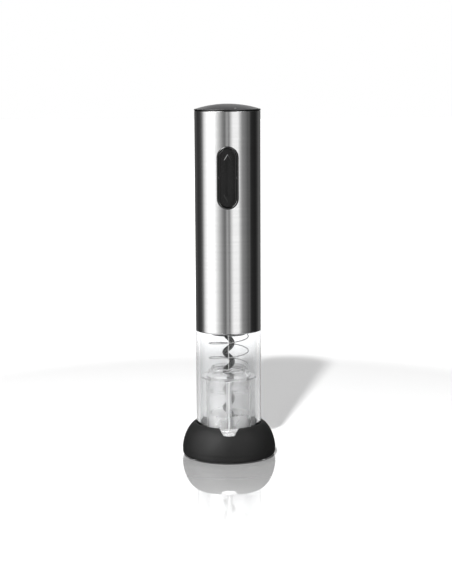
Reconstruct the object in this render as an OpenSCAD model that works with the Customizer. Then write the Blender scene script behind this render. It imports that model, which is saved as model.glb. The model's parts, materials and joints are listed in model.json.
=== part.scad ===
// Cordless electric wine opener standing in its foil-cutter base.
// Millimetres, +Z up, origin on the table at the centre of the base, front towards -Y.

/* [Body] */
// Outside diameter of the steel sleeve and of the clear housing
body_d = 50; // [50:0.1:50.4]
// Height of the joint between clear housing and steel sleeve
joint_z = 98.5; // [98.4:0.1:98.6]
// Length of the steel sleeve
sleeve_len = 166; // [165.8:0.1:166.2]
// Sheet thickness of the steel sleeve
sleeve_wall = 0.7; // [0.5:0.1:0.7]
// Height of the cap's dome above its rim
dome_h = 3.8; // [3:0.2:5]

/* [Stand] */
// Height of the foil-cutter stand
stand_h = 26; // [26:0.1:26.4]
// Largest diameter of the stand
stand_d = 71.7; // [71:0.1:74]
// Diameter of the recess that takes the bottle lip
recess_d = 34; // [33:0.5:35]
// Diameter of each cutting wheel
wheel_d = 8.4; // [8:0.1:8.4]

/* [Corkscrew] */
// Outside diameter of the corkscrew
worm_d = 9.6; // [9:0.2:9.8]
// Wire diameter of the corkscrew
worm_wire_d = 4.2; // [3.6:0.1:4.2]
// Lead of the corkscrew
worm_pitch = 14.45; // [13:0.05:15]
// Height of the corkscrew's tip above the table
worm_tip_z = 20; // [19:0.5:24]

/* [Guide] */
// Wire diameter of the guide spring
spring_wire_d = 0.8; // [0.6:0.1:0.8]
// Number of free coils in the guide spring
spring_turns = 2.75; // [2:0.25:4]

/* [Button] */
// Width of the button's bezel
bezel_w = 16.4; // [16.2:0.1:16.6]
// Height of the button's bezel
bezel_h = 46.8; // [46:0.1:47]
// Height of the button's middle above the table
button_z = 215.7; // [215:0.1:216]

/* [Hidden] */
$fn = 96;
eps = 0.5;
thirds = [90, 210, 330];               // angles of parts that come in threes

body_r = body_d / 2;
sleeve_top = joint_z + sleeve_len;
bore_r = body_r - sleeve_wall;         // inside of the steel sleeve
chassis_r = bore_r - 0.3;
chassis_in = chassis_r - 1.6;

// Stand
stand_r = stand_d / 2;
stand_mid = 3.5;                       // height of the widest ring
stand_low = 0.8;                       // bottom edge of the shell
socket_r = body_r + 0.3;
socket_floor = 12.5;
web_t = 2;
recess_r = recess_d / 2;
wheel_r = wheel_d / 2;
wheel_orbit = 13.9 + wheel_r;          // the wheels' edges leave 27.8 mm between them
wheel_t = 1.2;
wheel_z = 5.7;
cutter_pin_r = 0.8;
carrier_r = 24.4;
base_top = 3.4;
notch_top_w = 15;
notch_low_w = 7.8;
notch_z = 21.2;
stand_screw_r = 29.3;

// Clear housing
housing_in = body_r - 2.8;
housing_low = socket_floor + 0.2;
spigot_top = joint_z + 8.3;

// Nose and gearbox heights
boss_low = joint_z - 3.8;
nose_top = joint_z + 8.5;
floor_top = nose_top + 3;
ring_low = floor_top;
ring_top = floor_top + 27.5;
disc_low = floor_top + 0.6;
disc_t = 4.2;
spindle_r = 4;
bush_r = 7;
running = 0.03;                        // gap between a shaft and its bush
nose_screw_r = 17;

// Gears
gear_m = 0.7;
sun_t = 12;
planet_t = 18;
sun_pitch = gear_m * sun_t / 2;
planet_pitch = gear_m * planet_t / 2;
ring_t = sun_t + 2 * planet_t;
ring_pitch = gear_m * ring_t / 2;
orbit_r = sun_pitch + planet_pitch;
pressure = 25;
addendum = 0.9 * gear_m;
dedendum = 1.2 * gear_m;
thinning = 0.05;
planet_pin_r = 1.5;
lower_low = disc_low + disc_t + 0.4;
lower_top = lower_low + 8.8;
carrier_low = lower_top + 0.8;
carrier_t = 3.2;
upper_low = carrier_low + carrier_t + 0.5;
upper_top = upper_low + 6.4;
disc_r = ring_pitch - addendum - 0.7;

// Motor
plate_t = 2;
motor_low = ring_top + plate_t;
motor_r = 14;
motor_len = 38;
motor_top = motor_low + motor_len;
shaft_r = 1.5;
endcap_t = 3;
motor_screw_r = 8;

// Batteries
cell_r = 7.25;
cell_len = 50.5;
cell_pitch = 7.35;
cell_low = 198.4;
cell_top = cell_low + cell_len;
tray_floor = 196;
tray_low = 193.5;
tray_top = cell_top - 0.9;
chassis_top = 249.4;

// Button
bezel_rim = 1.35;
rocker_w = bezel_w - 2 * bezel_rim - 0.6;
rocker_h = bezel_h - 2 * bezel_rim - 0.6;
pivot_y = -21.2;
pin_r = 0.9;
tact_z = 14;                           // switches above and below the pivot
board_y = -16.3;

// Cap
cap_rim_low = sleeve_top + 0.2;
cap_rim_t = 1.3;
skirt_r = 21.2;
skirt_low = sleeve_top - 10;
plate_low = chassis_top + 1.8;

// Neck guide and spring
guide_low = 22.5;
flange_z = 61.2;
flange_r = 21.1;
sleeve_out = 17.4;
sleeve_in = 15.6;
rib_r = 21;
spring_seat = 65.6;
spring_r = 15.2;
spring_right_z = 81.6;                 // a height at which the spring points to +X
spring_top = joint_z + 0.1;

// ---------------------------------------------------------------- helpers

// Shell outline of the stand: a soft shoulder that runs out flat at the rim
function shoulder(top_r, max_r, mid_z, top_z, n) =
    [for (i = [0:n]) let (a = i * 86 / n)
        [top_r + (max_r - top_r) * pow(cos(a), 1.333), mid_z + (top_z - mid_z) * sin(a)]];

module tube(r_out, r_in, z0, z1) {
    translate([0, 0, z0]) difference() {
        cylinder(r = r_out, h = z1 - z0);
        translate([0, 0, -eps]) cylinder(r = r_in, h = z1 - z0 + 2 * eps);
    }
}

module rod(r, z0, z1) {
    translate([0, 0, z0]) cylinder(r = r, h = z1 - z0);
}

// Copies its children at radius r and at each angle in the list
module around(r, angles) {
    for (a = angles) rotate([0, 0, a]) translate([r, 0, 0]) children();
}

// Upright stadium outline, w wide and h tall
module stadium(w, h) {
    for (s = [-1, 1]) translate([0, s * (h - w) / 2]) circle(d = w);
    square([w, h - w], center = true);
}

// Stadium prism through the front wall between two depths, at the button's height
module stadium_bar(w, h, y0, y1) {
    translate([0, y1, button_z]) rotate([90, 0, 0]) linear_extrude(y1 - y0) stadium(w, h);
}

// Cylinder along Y
module y_rod(r, x, y0, y1, z) {
    translate([x, y1, z]) rotate([90, 0, 0]) cylinder(r = r, h = y1 - y0);
}

function involute(a) = tan(a) * 180 / PI - a;

// Half of a tooth's angular width at radius r
function half_tooth(t, r, slim) =
    let (pr = gear_m * t / 2, br = pr * cos(pressure))
    90 / t - slim / pr * 180 / PI + involute(pressure) - involute(acos(min(1, br / r)));

function tooth_side(t, low_r, top_r, slim, side) =
    let (start = max(low_r, gear_m * t / 2 * cos(pressure)), n = 4)
    concat([[low_r, side * half_tooth(t, start, slim)]],
        [for (i = [low_r < start ? 0 : 1:n]) let (r = start + (top_r - start) * i / n)
            [r, side * half_tooth(t, r, slim)]]);

// Outline of a gear with t teeth, one of them centred on +X
function gear_outline(t, low_r, top_r, slim) =
    let (left = tooth_side(t, low_r, top_r, slim, -1), right = tooth_side(t, low_r, top_r, slim, 1),
        n = len(left))
    [for (k = [0:t - 1]) for (p = concat(left, [for (i = [n - 1:-1:0]) right[i]]))
        [p[0] * cos(p[1] + k * 360 / t), p[0] * sin(p[1] + k * 360 / t)]];

module gear(t, z0, z1) {
    pitch_r = gear_m * t / 2;
    translate([0, 0, z0]) linear_extrude(z1 - z0)
        polygon(gear_outline(t, pitch_r - dedendum, pitch_r + addendum, thinning));
}

// Sweeps a round section along a list of [x, y, z, radius] points
module sweep(path, sides) {
    n = len(path);
    function at(i) = [path[i][0], path[i][1], path[i][2]];
    function along(i) = let (v = at(min(i + 1, n - 1)) - at(max(i - 1, 0))) v / norm(v);
    function across(v) = let (c = cross(v, abs(v[2]) > 0.9 ? [1, 0, 0] : [0, 0, 1])) c / norm(c);
    rings = [for (i = [0:n - 1]) let (v = along(i), a = across(v), b = cross(v, a))
        for (k = [0:sides - 1]) let (t = k * 360 / sides)
            at(i) + path[i][3] * (cos(t) * a + sin(t) * b)];
    walls = [for (i = [0:n - 2]) for (k = [0:sides - 1])
        let (p = i * sides + k, q = i * sides + (k + 1) % sides)
        each [[p, p + sides, q], [q, p + sides, q + sides]]];
    first = [for (k = [0:sides - 1]) k];
    last = [for (k = [sides - 1:-1:0]) (n - 1) * sides + k];
    polyhedron(points = rings, faces = concat(walls, [first], [last]), convexity = 10);
}

// Points of a right-handed coil whose radius runs from r0 to r1
function coil(r0, r1, z0, z1, turns, wire_r, start, per_turn) =
    let (n = ceil(turns * per_turn))
    [for (i = [0:n]) let (f = i / n, r = r0 + (r1 - r0) * f, a = start + 360 * turns * f)
        [r * cos(a), r * sin(a), z0 + (z1 - z0) * f, wire_r]];

// ---------------------------------------------------------------- stand

module notch(grow, low) {
    rotate([90, 0, 0]) translate([0, 0, body_r - 4]) linear_extrude(20)
        polygon([
            [-notch_low_w / 2 - grow, low], [notch_low_w / 2 + grow, low],
            [notch_top_w / 2 + grow, stand_h], [notch_top_w / 2 + grow, stand_h + 3],
            [-notch_top_w / 2 - grow, stand_h + 3], [-notch_top_w / 2 - grow, stand_h]
        ]);
}

module stand_outer() {
    rotate_extrude() polygon(concat(
        [[0, stand_low], [33.6, stand_low], [34.9, 1.5], [35.6, 2.4]],
        shoulder(socket_r + 0.1, stand_r, stand_mid, stand_h, 18),
        [[0, stand_h - 0.05]]));
}

module stand_shell() {
    inner = shoulder(27.2, stand_r - 2.2, stand_mid, stand_h - 2.8, 12);
    color("#262626") difference() {
        union() {
            difference() {
                stand_outer();
                rotate_extrude() polygon(concat([[27.2, 0], [stand_r - 2.2, 0]], inner));
            }
            intersection() {
                stand_outer();
                notch(1.6, notch_z - 1.6);
            }
            around(stand_screw_r, thirds) rod(2.9, base_top, 14);
        }
        rod(socket_r, socket_floor, stand_h + 2);
        rod(recess_r, 0, socket_floor - web_t);
        rod(carrier_r + 0.1, 0, socket_floor - web_t);
        rod(33.4, 0, base_top);
        notch(0, notch_z);
        around(stand_screw_r, thirds) rod(1.1, 2, 12);
    }
}

module stand_base() {
    color("#1e1e1e") difference() {
        tube(33.3, recess_r, stand_low, base_top - 0.05);
        tube(25.6, 21.4, 0, 1.6);
        around(stand_screw_r, thirds) {
            rod(1.3, 0, 4);
            rod(2.4, 0, 2.2);
        }
    }
}

module stand_foot_ring() {
    color("#101010") tube(25.5, 21.5, 0, 1.6);
}

module stand_screws() {
    color("silver") around(stand_screw_r, thirds) difference() {
        union() {
            rod(2.2, 1, 2.2);
            rod(1.1, 2.1, 11);
        }
        translate([0, 0, 1.2]) cube([2.4, 0.6, 1], center = true);
    }
}

module cutter_carrier() {
    color("#303030") difference() {
        tube(carrier_r, recess_r, base_top, socket_floor - web_t);
        around(wheel_orbit, [0:90:270]) {
            translate([-2, 0, wheel_z]) cube([13, 2 * wheel_r + 1.2, wheel_t + 0.4], center = true);
            rod(cutter_pin_r, base_top + 0.4, socket_floor - web_t + 1);
        }
    }
}

module cutter_pins() {
    color("silver") around(wheel_orbit, [0:90:270])
        rod(cutter_pin_r, base_top + 0.4, socket_floor - web_t - 0.1);
}

// A thin disc with a V edge on its pin
module cutter_wheel(a) {
    color("lightgrey") around(wheel_orbit, [a]) translate([0, 0, wheel_z]) rotate_extrude()
        polygon([
            [cutter_pin_r + 0.05, -wheel_t / 2], [wheel_r - 1.2, -wheel_t / 2], [wheel_r, -0.08],
            [wheel_r, 0.08], [wheel_r - 1.2, wheel_t / 2], [cutter_pin_r + 0.05, wheel_t / 2]
        ]);
}

// ---------------------------------------------------------------- housing and sleeve

module clear_housing() {
    color("#d8e4e8", 0.35) difference() {
        union() {
            rod(body_r, housing_low, joint_z - 0.2);
            rod(bore_r - 0.2, joint_z - 1, spigot_top);
            intersection() {
                stand_outer();
                notch(-0.35, notch_z + 0.3);
            }
        }
        difference() {
            rod(housing_in, 0, spigot_top + 1);
            for (s = [-1, 1]) translate([s * 22, 0, 55]) cube([1.2, 2.4, 84], center = true);
        }
        translate([0, -29.4, stand_h - 0.4]) rotate([45, 0, 0]) cube([20, 1.4, 1.4], center = true);
    }
}

module steel_sleeve() {
    color("#b8b8b8") difference() {
        tube(body_r, bore_r, joint_z, sleeve_top);
        stadium_bar(bezel_w - 0.8, bezel_h - 0.8, -body_r - 2, -15);
    }
}

// ---------------------------------------------------------------- chassis

screw_x = 18.3;
chassis_screw_z = [163, 185];
post_len = 11.5;

module chassis_half(side) {
    difference() {
        union() {
            tube(chassis_r, chassis_in, nose_top, chassis_top);
            tube(chassis_in + 0.8, 9.2, nose_top, floor_top);
            for (z = [152, 171]) tube(chassis_in + 0.8, motor_r + 0.1, z, z + 2);
            tube(chassis_in + 0.8, 12, tray_low - 2.6, tray_low - 0.1);
            tube(chassis_in + 0.8, 19.1, 243, 245);
            for (x = [-screw_x, screw_x]) for (z = chassis_screw_z)
                y_rod(2.6, x, side < 0 ? -post_len : 0, side < 0 ? 0 : post_len, z);
        }
        translate([0, -side * 50, 180]) cube([100, 100, 300], center = true);
        for (x = [-screw_x, screw_x]) for (z = chassis_screw_z) {
            y_rod(side < 0 ? 1 : 1.2, x, side < 0 ? -8.5 : -1, side < 0 ? 1 : 9, z);
            if (side > 0) y_rod(2, x, 8, 20, z);
        }
        around(nose_screw_r, thirds) rod(1.1, nose_top - 1, floor_top - 0.2);
    }
}

module chassis_front() {
    color("#3a3a3a") difference() {
        union() {
            chassis_half(-1);
            for (s = [-1, 1]) translate([s * 8.9, -18.6, 216]) cube([1.8, 6.2, 46], center = true);
        }
        stadium_bar(bezel_w - 0.4, bezel_h - 0.2, -chassis_r - 2, -18.9);
        translate([0, board_y, 216]) cube([18.2, 1.3, 50], center = true);
        translate([0, -18, tray_low - 1.5]) cube([21, 8, 3.2], center = true);
    }
}

module chassis_rear() {
    color("#3a3a3a") chassis_half(1);
}

module chassis_screws() {
    color("silver") for (x = [-screw_x, screw_x]) for (z = chassis_screw_z) difference() {
        union() {
            y_rod(1, x, -8, 8.1, z);
            y_rod(1.9, x, 8, 9.6, z);
        }
        translate([x, 9.6, z]) cube([2.4, 1.2, 0.6], center = true);
    }
}

// ---------------------------------------------------------------- nose and gearbox

module nose_plate() {
    color("#181818") difference() {
        union() {
            rod(housing_in - 0.3, joint_z + 0.1, nose_top);
            rod(13.8, boss_low, joint_z + 1);
        }
        rod(5.2, boss_low - 1, nose_top);
        rod(bush_r + 0.05, joint_z + 0.3, nose_top + 1);
        difference() {
            rod(14.2, joint_z + 3, nose_top + 1);
            rod(9, joint_z, nose_top + 2);
        }
        around(nose_screw_r, thirds) {
            rod(1.3, joint_z - 1, nose_top + 1);
            rod(2.4, joint_z - 1, joint_z + 2);
        }
    }
}

module nose_screws() {
    color("silver") around(nose_screw_r, thirds) difference() {
        union() {
            rod(2.2, joint_z + 0.4, joint_z + 2);
            rod(1.1, joint_z + 1.9, floor_top - 0.4);
        }
        translate([0, 0, joint_z + 0.6]) cube([2.4, 0.6, 1], center = true);
    }
}

module spindle_bush() {
    color("#b5974a") difference() {
        union() {
            rod(bush_r, joint_z + 0.3, nose_top);
            rod(8.6, nose_top, floor_top + 0.4);
        }
        rod(spindle_r + running, joint_z, floor_top + 1);
    }
}

ring_out = chassis_in - 0.4;
gearbox_screw_r = 19.8;
screw_angles = [30, 150, 270];

module ring_gear() {
    color("#d8d4c8") difference() {
        rod(ring_out, ring_low, ring_top);
        translate([0, 0, ring_low - 1]) rotate([0, 0, 180 / ring_t])
            linear_extrude(ring_top - ring_low + 2)
                polygon(gear_outline(ring_t, ring_pitch - addendum, ring_pitch + dedendum, -thinning));
        around(gearbox_screw_r, screw_angles) rod(1, ring_top - 12.5, ring_top + 1);
    }
}

module motor_plate() {
    color("#9a9a9a") difference() {
        rod(ring_out, ring_top, ring_top + plate_t);
        rod(5.2, ring_top - 1, ring_top + plate_t + 1);
        around(gearbox_screw_r, screw_angles) rod(1.2, ring_top - 1, ring_top + plate_t + 1);
        around(motor_screw_r, [0, 180]) {
            rod(1.2, ring_top - 1, ring_top + plate_t + 1);
            rod(2, ring_top - 1, ring_top + 1.2);
        }
    }
}

// Three screws hold the plate on the ring gear and two hold the motor on the plate
module gearbox_screws() {
    color("silver") around(gearbox_screw_r, screw_angles) {
        rod(1, ring_top - 12, ring_top + plate_t + 0.1);
        rod(1.9, ring_top + plate_t, ring_top + plate_t + 1.8);
    }
    color("silver") around(motor_screw_r, [0, 180]) {
        rod(1.9, ring_top + 0.1, ring_top + 1.2);
        rod(1, ring_top + 1.1, motor_low + 1.4);
    }
}

// ---------------------------------------------------------------- motor

bush_out = 3;
brush_z = motor_top - 4.5;

module motor_can() {
    color("#c4c4c4") difference() {
        union() {
            tube(motor_r, motor_r - 1, motor_low, motor_top);
            rod(motor_r - 0.5, motor_low, motor_low + 1.5);
            rod(5, ring_top + 0.5, motor_low + 0.5);
        }
        rod(bush_out, ring_top, motor_low + 2);
        around(motor_screw_r, [0, 180]) rod(1, motor_low - 1, motor_low + 2);
    }
}

module motor_endcap() {
    color("#e6e2d6") difference() {
        union() {
            rod(motor_r, motor_top, motor_top + endcap_t);
            rod(5, motor_top + endcap_t - 0.5, motor_top + endcap_t + 2.5);
        }
        rod(bush_out, motor_top - 1, motor_top + endcap_t + 4);
        for (s = [-1, 1]) translate([s * 9.05, 0, motor_top]) cube([1.3, 4.2, 10], center = true);
    }
}

module motor_bushes() {
    color("#9c7c46") {
        tube(bush_out, shaft_r + running, ring_top + 0.5, motor_low + 1.5);
        tube(bush_out, shaft_r + running, motor_top, motor_top + endcap_t + 2);
    }
}

module motor_magnets() {
    color("#44403c") intersection() {
        tube(motor_r - 1, motor_r - 3.1, motor_low + 6, motor_top - 5);
        for (a = [0, 180]) rotate([0, 0, a]) translate([0, 0, motor_low])
            linear_extrude(motor_len) polygon([[2, 1], [20, 19], [0, 30], [-20, 19], [-2, 1]]);
    }
}

module motor_brushes() {
    color("#5a5048") for (s = [-1, 1]) {
        translate([s * 6.8, 0, brush_z + 1.5]) cube([5.4, 3, 3], center = true);
        translate([s * 9.05, 0, brush_z + 6.5]) cube([1.1, 4, 14], center = true);
    }
}

module rotor_shaft() {
    color("#d0d0d0") rod(shaft_r, upper_low - 0.1, motor_top + endcap_t + 3.5);
}

// Three-pole laminated armature
module armature() {
    color("#6a625c") difference() {
        union() {
            rod(4.2, motor_low + 8, motor_low + 28);
            for (a = [30, 150, 270]) rotate([0, 0, a]) {
                translate([5, 0, motor_low + 18]) cube([9, 3.2, 20], center = true);
                intersection() {
                    tube(10.4, 8.6, motor_low + 8, motor_low + 28);
                    translate([0, 0, motor_low + 7]) linear_extrude(22)
                        polygon([[0, 0], [12, -15], [16, 0], [12, 15]]);
                }
                translate([6.4, 0, motor_low + 18]) cube([3.8, 7, 17], center = true);
            }
        }
        rod(shaft_r + 0.01, motor_low, motor_top);
    }
}

module commutator() {
    color("#b87333") difference() {
        tube(4, shaft_r + 0.01, brush_z - 1, brush_z + 4);
        for (a = [0:60:300]) rotate([0, 0, a]) translate([4, 0, brush_z + 1.5])
            cube([1.4, 0.4, 8], center = true);
    }
}

module motor_pinion() {
    color("#c9a24a") difference() {
        gear(sun_t, upper_low - 0.1, upper_top + 0.6);
        rod(shaft_r + 0.01, upper_low - 1, upper_top + 2);
    }
}

// Two insulated wires from the motor's tabs to the switch board
module motor_leads() {
    for (s = [-1, 1]) color(s < 0 ? "#202020" : "#b02020") sweep([
        [s * 10.4, 0, motor_top + 8, 0.7], [s * 10.4, -1, motor_top + 9.6, 0.7],
        [s * 9.6, -4, motor_top + 10.8, 0.7], [s * 7.6, -9, motor_top + 11, 0.7],
        [s * 5.6, -13.6, motor_top + 11.4, 0.7], [s * 5, -15.8, motor_top + 12.8, 0.7],
        [s * 5, board_y, motor_top + 14.6, 0.7], [s * 5, board_y, tray_low + 0.4, 0.7]
    ], 8);
}

// ---------------------------------------------------------------- planetary stages

module upper_planet(a) {
    color("#e0dccf") around(orbit_r, [a]) difference() {
        rotate([0, 0, 180 / planet_t]) gear(planet_t, upper_low, upper_top);
        rod(planet_pin_r + 0.04, upper_low - 1, upper_top + 1);
    }
}

module lower_planet(a) {
    color("#e0dccf") around(orbit_r, [a]) difference() {
        rotate([0, 0, 180 / planet_t]) gear(planet_t, lower_low, lower_top);
        rod(planet_pin_r + 0.04, lower_low - 1, lower_top + 1);
    }
}

// Carrier of the upper planets with the lower stage's sun gear under it
module planet_carrier() {
    color("#a8a8a8") {
        rod(disc_r, carrier_low, carrier_low + carrier_t);
        rotate([0, 0, 90]) gear(sun_t, lower_low - 0.1, carrier_low + 0.5);
        around(orbit_r, thirds)
            rod(planet_pin_r, carrier_low + carrier_t - 0.5, upper_top + 0.2);
    }
}

module spindle() {
    color("#a8a8a8") difference() {
        union() {
            rod(disc_r, disc_low, disc_low + disc_t);
            rod(spindle_r, boss_low + 0.3, disc_low + 1);
            around(orbit_r, thirds)
                rod(planet_pin_r, disc_low + disc_t - 0.5, lower_top + 0.3);
        }
        rod(worm_wire_d / 2 + 0.05, boss_low - 1, worm_start + 1);
        translate([0, 0, boss_low - 0.1])
            cylinder(r1 = worm_wire_d / 2 + 0.7, r2 = worm_wire_d / 2 + 0.05, h = 1.6);
    }
}

// ---------------------------------------------------------------- corkscrew

worm_start = boss_low + 11.5;          // shank inside the spindle
worm_bend = boss_low + 1.5;            // where the shank starts to coil
worm_full = worm_bend - 5;
worm_right_z = 87.5;                   // height at which the coil points to +X
function ease(f) = f <= 0 ? 0 : f >= 1 ? 1 : f * f * (3 - 2 * f);
function worm_point(z) =
    let (r = (worm_d - worm_wire_d) / 2 * ease((worm_bend - z) / (worm_bend - worm_full)),
        a = 360 * (z - worm_right_z) / worm_pitch,
        w = worm_wire_d / 2 * (0.16 + 0.84 * sqrt(min(1, (z - worm_tip_z) / 9))))
    [r * cos(a), r * sin(a), z, w];

module corkscrew_worm() {
    step = worm_pitch / 20;
    n = floor((worm_bend - worm_tip_z) / step);
    color("#1a1a1a") sweep(concat(
        [for (z = [worm_start, worm_start - 4]) worm_point(z)],
        [for (i = [0:n]) worm_point(worm_bend - i * (worm_bend - worm_tip_z) / n)]
    ), 12);
}

// ---------------------------------------------------------------- neck guide

// The front rib is wider than the others
function rib_w(a) = a == 0 ? 3.5 : 2.2;

module neck_guide() {
    color("#dfe7ea", 0.5) {
        tube(sleeve_out, sleeve_in, guide_low, flange_z);
        for (a = [0, 90, 180, 270]) rotate([0, 0, a]) intersection() {
            translate([-rib_w(a) / 2, -rib_r, guide_low]) cube([rib_w(a), 4, flange_z - guide_low]);
            tube(rib_r, sleeve_out - 0.4, guide_low, flange_z);
        }
    }
}

// Flange, spring seat and top ring, with a skirt inside the sleeve that ends in a stop ring
module guide_collar() {
    color("#dfe7ea", 0.5) rotate_extrude() polygon([
        [11.9, 68.2], [12.5, 69.3], [13.2, 69.1], [13.6, 68], [13.6, spring_seat],
        [16.2, spring_seat - 1], [16.9, flange_z + 1.4], [flange_r, flange_z + 1.4],
        [flange_r, flange_z], [sleeve_in - 0.1, flange_z], [sleeve_in - 0.1, 50.2], [12.4, 50.2],
        [12.4, 51.8], [14.6, 52.6], [14.6, 60.6], [11.9, 64]
    ]);
}

// Points of the guide spring, whose end coils lie closed on its seats
function spring_path(per_turn) =
    let (closed = 0.75, wire_r = spring_wire_d / 2, rise = spring_wire_d * 0.7,
        z0 = spring_seat + wire_r, z1 = spring_top - wire_r,
        pitch = (z1 - z0 - 2 * rise) / spring_turns, all_turns = spring_turns + 2 * closed,
        start = -360 * (closed + (spring_right_z - z0 - rise) / pitch),
        n = round(all_turns * per_turn))
    [for (i = [0:n])
        let (t = all_turns * i / n,
            low = min(t, closed), free = max(0, min(t - closed, spring_turns)),
            high = max(0, t - closed - spring_turns),
            z = z0 + rise * (low + high) / closed + pitch * free)
        [spring_r * cos(start + 360 * t), spring_r * sin(start + 360 * t), z, wire_r]];

module guide_spring() {
    color("#8c8c8c") sweep(spring_path(24), 8);
}

// ---------------------------------------------------------------- batteries

cell_spots = [[1, 1, 1], [-1, 1, -1], [-1, -1, 1], [1, -1, -1]];

module battery_tray() {
    color("#2c2c2c") difference() {
        rod(19, tray_low, tray_top);
        for (c = cell_spots) translate([c[0] * cell_pitch, c[1] * cell_pitch, 0])
            rod(cell_r + 0.15, tray_floor, tray_top + 1);
        for (s = [-1, 1]) translate([s * cell_pitch, 0, tray_floor + 1]) cube([7, 12, 2], center = true);
        translate([0, -25.2, 220]) cube([60, 20, 80], center = true);
    }
}

// AA cell with its button end up (way = 1) or down (way = -1)
module battery_cell(k) {
    c = cell_spots[k];
    color(k % 2 == 0 ? "#8a8f94" : "#7c8288") translate([c[0] * cell_pitch, c[1] * cell_pitch, 0]) {
        rod(cell_r, c[2] > 0 ? cell_low : cell_low + 1, c[2] > 0 ? cell_top - 1 : cell_top);
        rod(2.7, cell_low + (c[2] > 0 ? 10 : 0), c[2] > 0 ? cell_top : cell_top - 10);
    }
}

module lower_contacts() {
    color("#c8c8c0") {
        for (s = [-1, 1]) translate([s * cell_pitch, 0, tray_floor + 0.3])
            cube([6, 22, 0.5], center = true);
        for (c = cell_spots) translate([c[0] * cell_pitch, c[1] * cell_pitch, 0])
            sweep(coil(3.6, 1.8, tray_floor + 0.8, cell_low - 0.35, 2, 0.25, 0, 12), 6);
    }
}

// ---------------------------------------------------------------- button

module button_bezel() {
    color("#0c0c0c") difference() {
        union() {
            intersection() {
                stadium_bar(bezel_w, bezel_h, -body_r - 2, -18);
                tube(body_r + 0.75, body_r + 0.05, button_z - 30, button_z + 30);
            }
            intersection() {
                stadium_bar(bezel_w - 1.1, bezel_h - 1.1, -body_r - 2, -19.2);
                rod(body_r + 0.4, button_z - 30, button_z + 30);
            }
        }
        stadium_bar(bezel_w - 2 * bezel_rim, bezel_h - 2 * bezel_rim, -body_r - 3, -17);
        translate([0, pivot_y, button_z]) rotate([0, 90, 0]) cylinder(r = pin_r, h = 20, center = true);
    }
}

module button_pin() {
    color("silver") translate([0, pivot_y, button_z]) rotate([0, 90, 0])
        cylinder(r = pin_r, h = bezel_w - 1.4, center = true);
}

module rocker_button() {
    color("#101010") difference() {
        union() {
            intersection() {
                stadium_bar(rocker_w, rocker_h, -body_r - 2, -23.4);
                union() {
                    rod(body_r + 0.2, button_z - 30, button_z + 30);
                    for (s = [-1, 1]) intersection() {
                        translate([0, -20, button_z + s * 15]) rotate([90, 0, 0]) linear_extrude(8)
                            polygon([[-3.2, -s * 2.2], [3.2, -s * 2.2], [0, s * 2.6]]);
                        rod(body_r + 0.5, button_z - 30, button_z + 30);
                    }
                }
            }
            translate([0, pivot_y, button_z]) rotate([0, 90, 0])
                cylinder(r = 2.4, h = 11, center = true);
            for (s = [-1, 1]) y_rod(2.4, 0, -23.6, -22, button_z + s * tact_z);
        }
        translate([0, pivot_y, button_z]) rotate([0, 90, 0])
            cylinder(r = pin_r + 0.04, h = 20, center = true);
    }
}

module switch_board() {
    color("#1f5a34") translate([0, board_y, 216]) cube([18, 1.2, 44], center = true);
}

module tact_switches() {
    color("#333333") for (s = [-1, 1]) {
        translate([0, -18.3, button_z + s * tact_z]) cube([6, 2.8, 6], center = true);
        y_rod(1.7, 0, -21.3, -19.5, button_z + s * tact_z);
    }
}

// ---------------------------------------------------------------- cap

module cap_collar() {
    color("#141414") difference() {
        union() {
            tube(bore_r - 0.1, skirt_r + 0.3, chassis_top + 0.1, sleeve_top - 0.2);
            for (s = [-1, 1]) translate([s * 2.6, 20.9, chassis_top + 2]) cube([1.4, 2, 3.6], center = true);
        }
        rod(18.9, chassis_top - 1, sleeve_top + 1);
    }
}

module contact_plate() {
    color("#404040") difference() {
        union() {
            rod(18.6, plate_low, plate_low + 2);
            translate([0, 19, plate_low + 1]) cube([3, 3.6, 2], center = true);
        }
        rod(2.02, plate_low - 1, plate_low + 3);
    }
}

module top_contacts() {
    color("#c8c8c0") for (s = [-1, 1]) {
        translate([0, s * cell_pitch, plate_low - 0.25]) cube([22, 5.6, 0.5], center = true);
        for (t = [-1, 1]) translate([t * cell_pitch, s * cell_pitch, 0])
            rod(2, cell_top + 0.1, plate_low - 0.2);
    }
}

// Rivet on which the cap turns above the contact plate
module cap_rivet() {
    color("silver") {
        rod(3.6, plate_low - 1.1, plate_low);
        rod(2, plate_low - 0.5, plate_low + 7);
        rod(3.6, plate_low + 6.9, plate_low + 8);
    }
}

module top_cap() {
    dome_r = body_r - 0.6;
    sphere_r = (dome_r * dome_r + dome_h * dome_h) / (2 * dome_h);
    rim_top = cap_rim_low + cap_rim_t;
    color("#1c1c1c") difference() {
        union() {
            rod(body_r, cap_rim_low, rim_top);
            intersection() {
                translate([0, 0, rim_top + dome_h - sphere_r]) sphere(r = sphere_r, $fn = 160);
                rod(dome_r, rim_top - 0.5, rim_top + dome_h + 1);
            }
            rod(skirt_r, skirt_low, cap_rim_low + 0.5);
        }
        difference() {
            rod(skirt_r - 2, skirt_low - 1, rim_top);
            rod(5.4, plate_low + 2.2, rim_top + 1);
        }
        tube(skirt_r + 2, skirt_r - 1.05, sleeve_top - 2.6, sleeve_top - 1.2);
        rod(2.05, plate_low, plate_low + 8);
        rod(4, plate_low + 6.7, plate_low + 9);
    }
}

module cap_seal() {
    color("#080808") translate([0, 0, sleeve_top - 1.9]) rotate_extrude()
        translate([skirt_r - 0.4, 0]) circle(r = 0.6, $fn = 24);
}

// ---------------------------------------------------------------- parts

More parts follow.
